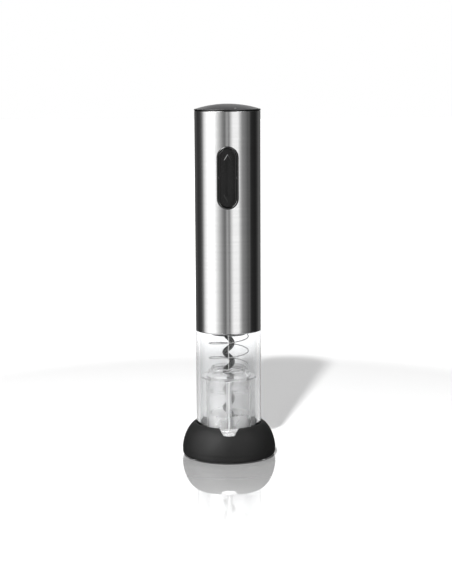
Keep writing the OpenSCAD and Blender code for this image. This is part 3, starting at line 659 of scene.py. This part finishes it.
def neck_guide():
    """Plain sleeve with four ribs, a thin frosted lip low inside it, and a collar with a skirt."""
    sleeve_outline = rounded([
        (GUIDE_SLEEVE_OUT, GUIDE_LOW), (GUIDE_SLEEVE_OUT, FLANGE_Z), (GUIDE_SLEEVE_IN, FLANGE_Z),
        (GUIDE_SLEEVE_IN, GUIDE_LOW),
    ], 0.3 * MM, 4, 0.3 * MM)
    cup = lathe("guide_cup", sleeve_outline, "frosted_plastic", "guide", ["neck_guide"])
    skirt = GUIDE_SLEEVE_IN - 0.1 * MM
    collar_outline = rounded([
        (11.9 * MM, 68.2 * MM), (12.5 * MM, GUIDE_TOP, 0.5 * MM), (13.4 * MM, 69.1 * MM, 0.8 * MM),
        (13.6 * MM, SPRING_LOW), (16.2 * MM, SPRING_LOW - 1 * MM, 0.6 * MM),
        (16.9 * MM, FLANGE_Z + 1.4 * MM), (FLANGE_R, FLANGE_Z + 1.4 * MM), (FLANGE_R, FLANGE_Z + 0.02 * MM),
        (skirt, FLANGE_Z + 0.02 * MM), (skirt, 50.2 * MM), (12.4 * MM, 50.2 * MM), (12.4 * MM, 51.8 * MM),
        (14.6 * MM, 52.6 * MM), (14.6 * MM, 60.6 * MM), (11.9 * MM, 64 * MM),
    ], 0.25 * MM, 4, 0.25 * MM)
    ring = lathe("guide_ring", collar_outline, "frosted_plastic", "guide", ["guide_collar"],
                 finish=COLLAR_FINISH)
    lip_r = GUIDE_SLEEVE_IN - 0.05 * MM
    lip_low, lip_top = GUIDE_LOW + 0.3 * MM, STAND_TOP + 7 * MM
    lip_outline = rounded([
        (lip_r - 0.4 * MM, lip_low), (lip_r, lip_low), (lip_r, lip_top), (lip_r - 0.1 * MM, lip_top),
    ], 0.1 * MM, 3)
    lip = lathe("guide_lip", lip_outline, "frosted_plastic", "guide", finish=LIP_FINISH)
    cup.visible_shadow = ring.visible_shadow = lip.visible_shadow = False
    base = GUIDE_SLEEVE_OUT + 0.1 * MM
    rib_low, rib_top = GUIDE_LOW + 0.2 * MM, FLANGE_Z - 0.3 * MM
    bead("guide_rib_0", 1.1 * MM, base, rib_low, rib_top, "frosted_plastic", "guide", 2.6, 0, RIB_FINISH)
    for name, side in (("guide_rail_left", -1), ("guide_rail_right", 1)):
        rail = bead(name, 0.42 * MM, base, rib_low, rib_top, "frosted_plastic", "guide", 8.0,
                    finish=RIB_FINISH)
        for v in rail.data.vertices:
            v.co.x += side * 1.6 * MM
    for k in range(1, 4):
        bead(f"guide_rib_{k}", 1.1 * MM, base, rib_low, rib_top, "frosted_plastic", "guide", 2.6,
             k * math.pi / 2)


# ---------------------------------------------------------------- corkscrew and spring


def smooth(f):
    f = min(1.0, max(0.0, f))
    return f * f * (3 - 2 * f)


def worm():
    wire = 2.1 * MM
    coil_r = 2.7 * MM
    pitch = 14.45 * MM
    right_z = 87.5 * MM
    bend = BOSS_LOW + 1.5 * MM
    path = [(Vector((0, 0, bend + 9.5 * MM)), wire), (Vector((0, 0, bend + 4 * MM)), wire)]
    steps = 240
    for k in range(steps + 1):
        z = bend + (WORM_TIP - bend) * k / steps
        r = coil_r * smooth((bend - z) / (5 * MM))
        a = 2 * math.pi * (z - right_z) / pitch
        width = wire * (0.1 + 0.9 * math.sqrt(min(1, max(0, (z - WORM_TIP) / (9 * MM)))))
        path.append((Vector((r * math.cos(a), r * math.sin(a), z)), width))
    sweep("worm_wire", path, "coated_steel", "worm_drive", ["corkscrew_worm"], 24)


def spring():
    """Guide spring with closed end coils."""
    wire = 0.4 * MM
    radius = 15.2 * MM
    turns, closed = 2.75, 0.75
    first, last = SPRING_LOW + wire, SPRING_TOP - wire
    rise = 0.56 * MM
    free_low, free_high = first + rise, last - rise
    right_z = 81.6 * MM
    start = -2 * math.pi * (turns * (right_z - free_low) / (free_high - free_low) + closed)
    path = []
    steps = 200
    for k in range(steps + 1):
        turn = (turns + 2 * closed) * k / steps
        if turn < closed:
            z = first + rise * turn / closed
        elif turn < closed + turns:
            z = free_low + (free_high - free_low) * (turn - closed) / turns
        else:
            z = free_high + rise * (turn - closed - turns) / closed
        a = start + 2 * math.pi * turn
        path.append((Vector((radius * math.cos(a), radius * math.sin(a), z)), wire))
    coil = sweep("spring_wire", path, "spring_steel", "opener", ["guide_spring"], 12)
    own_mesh(coil)


# ---------------------------------------------------------------- cap and nose


def cap():
    rim_low, rim_top = CAP_LOW, CAP_LOW + 1.3 * MM
    dome_r = BODY_R - 0.6 * MM
    rise = CAP_TOP - rim_top
    sphere = (dome_r * dome_r + rise * rise) / (2 * rise)
    outline = [(0, CAP_TOP)]
    for k in range(1, 31):
        r = dome_r * k / 30
        outline.append((r, rim_top + rise - sphere + math.sqrt(sphere * sphere - r * r)))
    outline += [(dome_r + 0.12 * MM, rim_top + 0.02 * MM), (BODY_R - 0.28 * MM, rim_top + 0.01 * MM),
                (BODY_R - 0.08 * MM, rim_top - 0.07 * MM), (BODY_R, rim_top - 0.28 * MM),
                (BODY_R, rim_low + 0.2 * MM), (BODY_R - 0.06 * MM, rim_low + 0.06 * MM),
                (BODY_R - 0.2 * MM, rim_low), (21.2 * MM, rim_low)]
    skirt_low = SLEEVE_TOP - 10 * MM
    for z, r in ((1.2, 21.2), (1.2, 20.2), (2.6, 20.2), (2.6, 21.2)):
        outline.append((r * MM, SLEEVE_TOP - z * MM))
    outline += [(21.2 * MM, skirt_low + 0.3 * MM), (20.9 * MM, skirt_low), (19.4 * MM, skirt_low),
                (19.2 * MM, skirt_low + 0.2 * MM), (19.2 * MM, rim_top), (5.4 * MM, rim_top),
                (5.4 * MM, low("top_cap").z + 0.2 * MM), (2.1 * MM, low("top_cap").z + 0.2 * MM),
                (2.1 * MM, rim_top - 4 * MM), (0, rim_top - 4 * MM)]
    lathe("cap_dome", outline, "satin_black", "cap", ["top_cap"], closed=False, segments=224, sharp=25)
    band = rounded([
        (BODY_R - 0.05 * MM, rim_low + 0.05 * MM), (BODY_R + 0.12 * MM, rim_low + 0.1 * MM),
        (BODY_R + 0.12 * MM, rim_top - 0.3 * MM), (BODY_R - 0.05 * MM, rim_top - 0.15 * MM),
    ], 0.12 * MM, 3)
    lathe("cap_rim_band", band, "gloss_black", "cap", segments=224)
    dot_x, dot_r, dot_size = 6 * MM, 22.3 * MM, 0.8 * MM
    seat = rim_top + rise - sphere + math.sqrt(sphere * sphere - dot_r * dot_r)
    centre = Vector((dot_x, -math.sqrt(dot_r * dot_r - dot_x * dot_x), seat))
    loops = []
    for size, height in ((1.0, -0.4), (1.0, 0.25), (0.9, 0.5), (0.65, 0.66), (0.35, 0.74), (1e-3, 0.76)):
        loops.append([
            centre + Vector((dot_size * size * math.cos(a), dot_size * size * math.sin(a), height * MM))
            for a in (2 * math.pi * k / 24 for k in range(24))
        ])
    vertices, faces = strips(loops)
    piece("cap_index_dot", vertices, faces, "screw_steel", "cap", finish=DOT_FINISH)


def nose():
    wide = HOUSING_IN - 0.3 * MM
    seat = JOINT_Z + 0.1 * MM
    outline = rounded([
        (5.2 * MM, BOSS_LOW, 0.4 * MM), (13.8 * MM, BOSS_LOW, 0.6 * MM), (13.8 * MM, seat), (wide, seat),
        (wide, seat + 8.4 * MM), (7.05 * MM, seat + 8.4 * MM), (7.05 * MM, seat + 0.2 * MM),
        (5.2 * MM, seat + 0.2 * MM),
    ], 0.2 * MM, 4)
    lathe("nose_boss", outline, "gloss_black", "opener", ["nose_plate"], segments=128, finish=BOSS_FINISH)


sleeve()
bezel()
rocker()
stand()
housing()
tongue()
neck_guide()
worm()
spring()
cap()
nose()

# ---------------------------------------------------------------- floor, light and camera

# Brightness of the studio round the object, by angle from the front towards +X
STUDIO = [
    (-180, 1.0), (-169, 1.0), (-165, 0.14), (-150, 0.1), (-138, 0.07), (-126, 0.035), (-108, 0.06),
    (-98, 0.22), (-88, 0.9), (-76, 1.3), (-50, 1.4), (-38, 0.9), (-28, 0.55), (-18, 0.28), (-9, 0.14),
    (-3, 0.42), (0, 0.42), (5, 0.16), (10, 0.6), (19, 1.1), (37, 1.1), (44, 0.6), (52, 0.28), (64, 0.2),
    (74, 0.1), (80, 0.13), (88, 0.025), (112, 0.015), (124, 0.04), (136, 0.11), (165, 0.14), (169, 1.0),
    (180, 1.0),
]
STUDIO_SPLIT = 16                      # one colour ramp can't hold all of the stops
FLOOR_POLISH = (0.2, 0.74)             # share of mirror far off, and just in front of the stand
FLOOR_GLOW = 0.9                       # light that the far floor adds
OVERHEAD = 0.27                        # level above the ring
KEY_LEVEL = 4.05                       # light of the lamp where the object stands
KEY_STEPS = 1.9                        # its distance, in lengths of the shadow
SHADOW = Vector((0.066, 0.362, -CAP_TOP))  # from the top of the cap to the tip of its shadow
CAMERA_AT = Vector((-0.8 * MM, -1.1, 0.2936))
CAMERA_LENS = 89.65
CAMERA_PITCH = math.radians(8.62)      # downwards
CAMERA_ROLL = math.radians(0.32)
# Lamps: azimuth, elevation, half width in degrees, level as light, level in gloss
SOFTBOX = (-50, 36, 24, 1.9, 9.0)
FILL_BOX = (52, 38, 15, 0.9, 4.5)


def studio_world():
    world = bpy.data.worlds.new("studio")
    scene.world = world
    world.use_nodes = True
    tree = world.node_tree
    tree.nodes.clear()

    def add(kind, **values):
        return node_of(tree, kind, **values)

    link = tree.links.new
    direction = add("ShaderNodeTexCoord").outputs["Generated"]
    split = add("ShaderNodeSeparateXYZ")
    link(direction, split.inputs[0])
    forward = add("ShaderNodeMath", operation="MULTIPLY")
    link(split.outputs["Y"], forward.inputs[0])
    forward.inputs[1].default_value = -1
    turn = add("ShaderNodeMath", operation="ARCTAN2")
    link(split.outputs["X"], turn.inputs[0])
    link(forward.outputs[0], turn.inputs[1])
    share = add("ShaderNodeMapRange")
    link(turn.outputs[0], share.inputs["Value"])
    share.inputs["From Min"].default_value = -math.pi
    share.inputs["From Max"].default_value = math.pi
    ramps = []
    for half in (STUDIO[:STUDIO_SPLIT + 1], STUDIO[STUDIO_SPLIT:]):
        ramp = add("ShaderNodeValToRGB")
        link(share.outputs["Result"], ramp.inputs["Fac"])
        stops = ramp.color_ramp
        stops.elements.remove(stops.elements[-1])
        for i, (angle, level) in enumerate(half):
            position = (angle + 180) / 360
            stop = stops.elements[0] if i == 0 else stops.elements.new(position)
            stop.position = position
            stop.color = (level, level, level, 1)
        ramps.append(ramp.outputs["Color"])
    side = add("ShaderNodeMath", operation="GREATER_THAN")
    link(share.outputs["Result"], side.inputs[0])
    side.inputs[1].default_value = (STUDIO[STUDIO_SPLIT][0] + 180) / 360

    def mixed(factor, first, second):
        mix = add("ShaderNodeMix", data_type="RGBA")
        link(factor, mix.inputs["Factor"])
        for name, value in (("A", first), ("B", second)):
            if isinstance(value, float):
                mix.inputs[name].default_value = (value, value, value, 1)
            else:
                link(value, mix.inputs[name])
        return mix.outputs["Result"]

    level = mixed(side.outputs[0], *ramps)
    climb = add("ShaderNodeMapRange", interpolation_type="SMOOTHSTEP")
    link(split.outputs["Z"], climb.inputs["Value"])
    climb.inputs["From Min"].default_value = 0.3
    climb.inputs["From Max"].default_value = 0.55
    level = mixed(climb.outputs["Result"], level, OVERHEAD)
    ray = add("ShaderNodeLightPath")
    for azimuth, elevation, width, soft, sharp in (SOFTBOX, FILL_BOX):
        a, e = math.radians(azimuth), math.radians(elevation)
        aim = add("ShaderNodeVectorMath", operation="DOT_PRODUCT")
        link(direction, aim.inputs[0])
        aim.inputs[1].default_value = (math.cos(e) * math.sin(a), -math.cos(e) * math.cos(a), math.sin(e))
        lit = add("ShaderNodeMapRange", interpolation_type="SMOOTHSTEP")
        link(aim.outputs["Value"], lit.inputs["Value"])
        lit.inputs["From Min"].default_value = math.cos(math.radians(width + 3))
        lit.inputs["From Max"].default_value = math.cos(math.radians(width - 2))
        lamp = mixed(ray.outputs["Is Glossy Ray"], soft, sharp)
        level = mixed(lit.outputs["Result"], level, lamp)
    around = add("ShaderNodeBackground")
    link(level, around.inputs["Color"])
    plain = add("ShaderNodeBackground")
    plain.inputs["Color"].default_value = (1, 1, 1, 1)
    through = add("ShaderNodeMath", operation="MAXIMUM")
    link(ray.outputs["Is Camera Ray"], through.inputs[0])
    link(ray.outputs["Is Transmission Ray"], through.inputs[1])
    seen = add("ShaderNodeMixShader")
    link(through.outputs[0], seen.inputs["Fac"])
    link(around.outputs[0], seen.inputs[1])
    link(plain.outputs[0], seen.inputs[2])
    link(seen.outputs[0], add("ShaderNodeOutputWorld").inputs["Surface"])


def studio_floor():
    """White sheet, a mirror at a slant just in front of the stand, that glows far away."""
    size = 8.0
    mesh = bpy.data.meshes.new("studio_floor")
    square = [(-size, -size, 0), (size, -size, 0), (size, size, 0), (-size, size, 0)]
    mesh.from_pydata(square, [], [(0, 1, 2, 3)])
    floor = bpy.data.objects.new("studio_floor", mesh)
    scene.collection.objects.link(floor)
    material = bpy.data.materials.new("floor_gloss")
    material.use_nodes = True
    tree = material.node_tree
    tree.nodes.clear()
    link = tree.links.new

    def faded(value, start, end, to_low=0.0, to_high=1.0, blend="SMOOTHSTEP"):
        ranged = node_of(tree, "ShaderNodeMapRange", interpolation_type=blend)
        link(value, ranged.inputs["Value"])
        for name, number in (("From Min", start), ("From Max", end), ("To Min", to_low), ("To Max", to_high)):
            ranged.inputs[name].default_value = number
        return ranged.outputs["Result"]

    def product(first, second):
        times = node_of(tree, "ShaderNodeMath", operation="MULTIPLY")
        link(first, times.inputs[0])
        link(second, times.inputs[1])
        return times.outputs[0]

    place = node_of(tree, "ShaderNodeTexCoord").outputs["Object"]
    away = node_of(tree, "ShaderNodeVectorMath", operation="LENGTH")
    link(place, away.inputs[0])
    split = node_of(tree, "ShaderNodeSeparateXYZ")
    link(place, split.inputs[0])
    near = faded(away.outputs["Value"], 0.3, 0.06)
    front = faded(split.outputs["Y"], 0.012, -0.02)
    slant = faded(node_of(tree, "ShaderNodeLayerWeight").outputs["Facing"], 0.2, 0.6)
    polish = faded(product(product(near, front), slant), 0, 1, FLOOR_POLISH[0], FLOOR_POLISH[1], "LINEAR")
    matt = node_of(tree, "ShaderNodeBsdfDiffuse")
    matt.inputs["Color"].default_value = (0.93, 0.93, 0.93, 1)
    glow = node_of(tree, "ShaderNodeEmission")
    link(faded(away.outputs["Value"], 0.35, 0.55, 0, FLOOR_GLOW), glow.inputs["Strength"])
    gloss = node_of(tree, "ShaderNodeBsdfGlossy")
    gloss.inputs["Color"].default_value = (1, 1, 1, 1)
    gloss.inputs["Roughness"].default_value = 0.02
    mix = node_of(tree, "ShaderNodeMixShader")
    link(polish, mix.inputs["Fac"])
    link(matt.outputs[0], mix.inputs[1])
    link(gloss.outputs[0], mix.inputs[2])
    lit = node_of(tree, "ShaderNodeAddShader")
    link(mix.outputs[0], lit.inputs[0])
    link(glow.outputs[0], lit.inputs[1])
    link(lit.outputs[0], node_of(tree, "ShaderNodeOutputMaterial").inputs["Surface"])
    mesh.materials.append(material)
    floor.visible_glossy = False


def key_light():
    """Small soft lamp, high in front and a little to the left. The shadow widens towards the back."""
    top = Vector((0, 0, CAP_TOP))
    lamp_at = top - KEY_STEPS * SHADOW
    light = bpy.data.lights.new("key", "POINT")
    light.energy = KEY_LEVEL * 4 * math.pi * lamp_at.length_squared
    light.shadow_soft_size = 0.02
    lamp = bpy.data.objects.new("key", light)
    scene.collection.objects.link(lamp)
    lamp.location = lamp_at
    lamp.visible_glossy = False
    lamp.visible_camera = False


def photo_camera():
    data = bpy.data.cameras.new("camera")
    data.sensor_width = 36
    data.lens = CAMERA_LENS
    camera = bpy.data.objects.new("camera", data)
    scene.collection.objects.link(camera)
    camera.location = CAMERA_AT
    camera.rotation_euler = (math.pi / 2 - CAMERA_PITCH, CAMERA_ROLL, 0)
    scene.camera = camera


studio_world()
studio_floor()
key_light()
photo_camera()
scene.view_settings.view_transform = "Standard"
scene.view_settings.look = "None"


def corners(bounds):
    return [list(map(float, corner)) for corner in bounds]
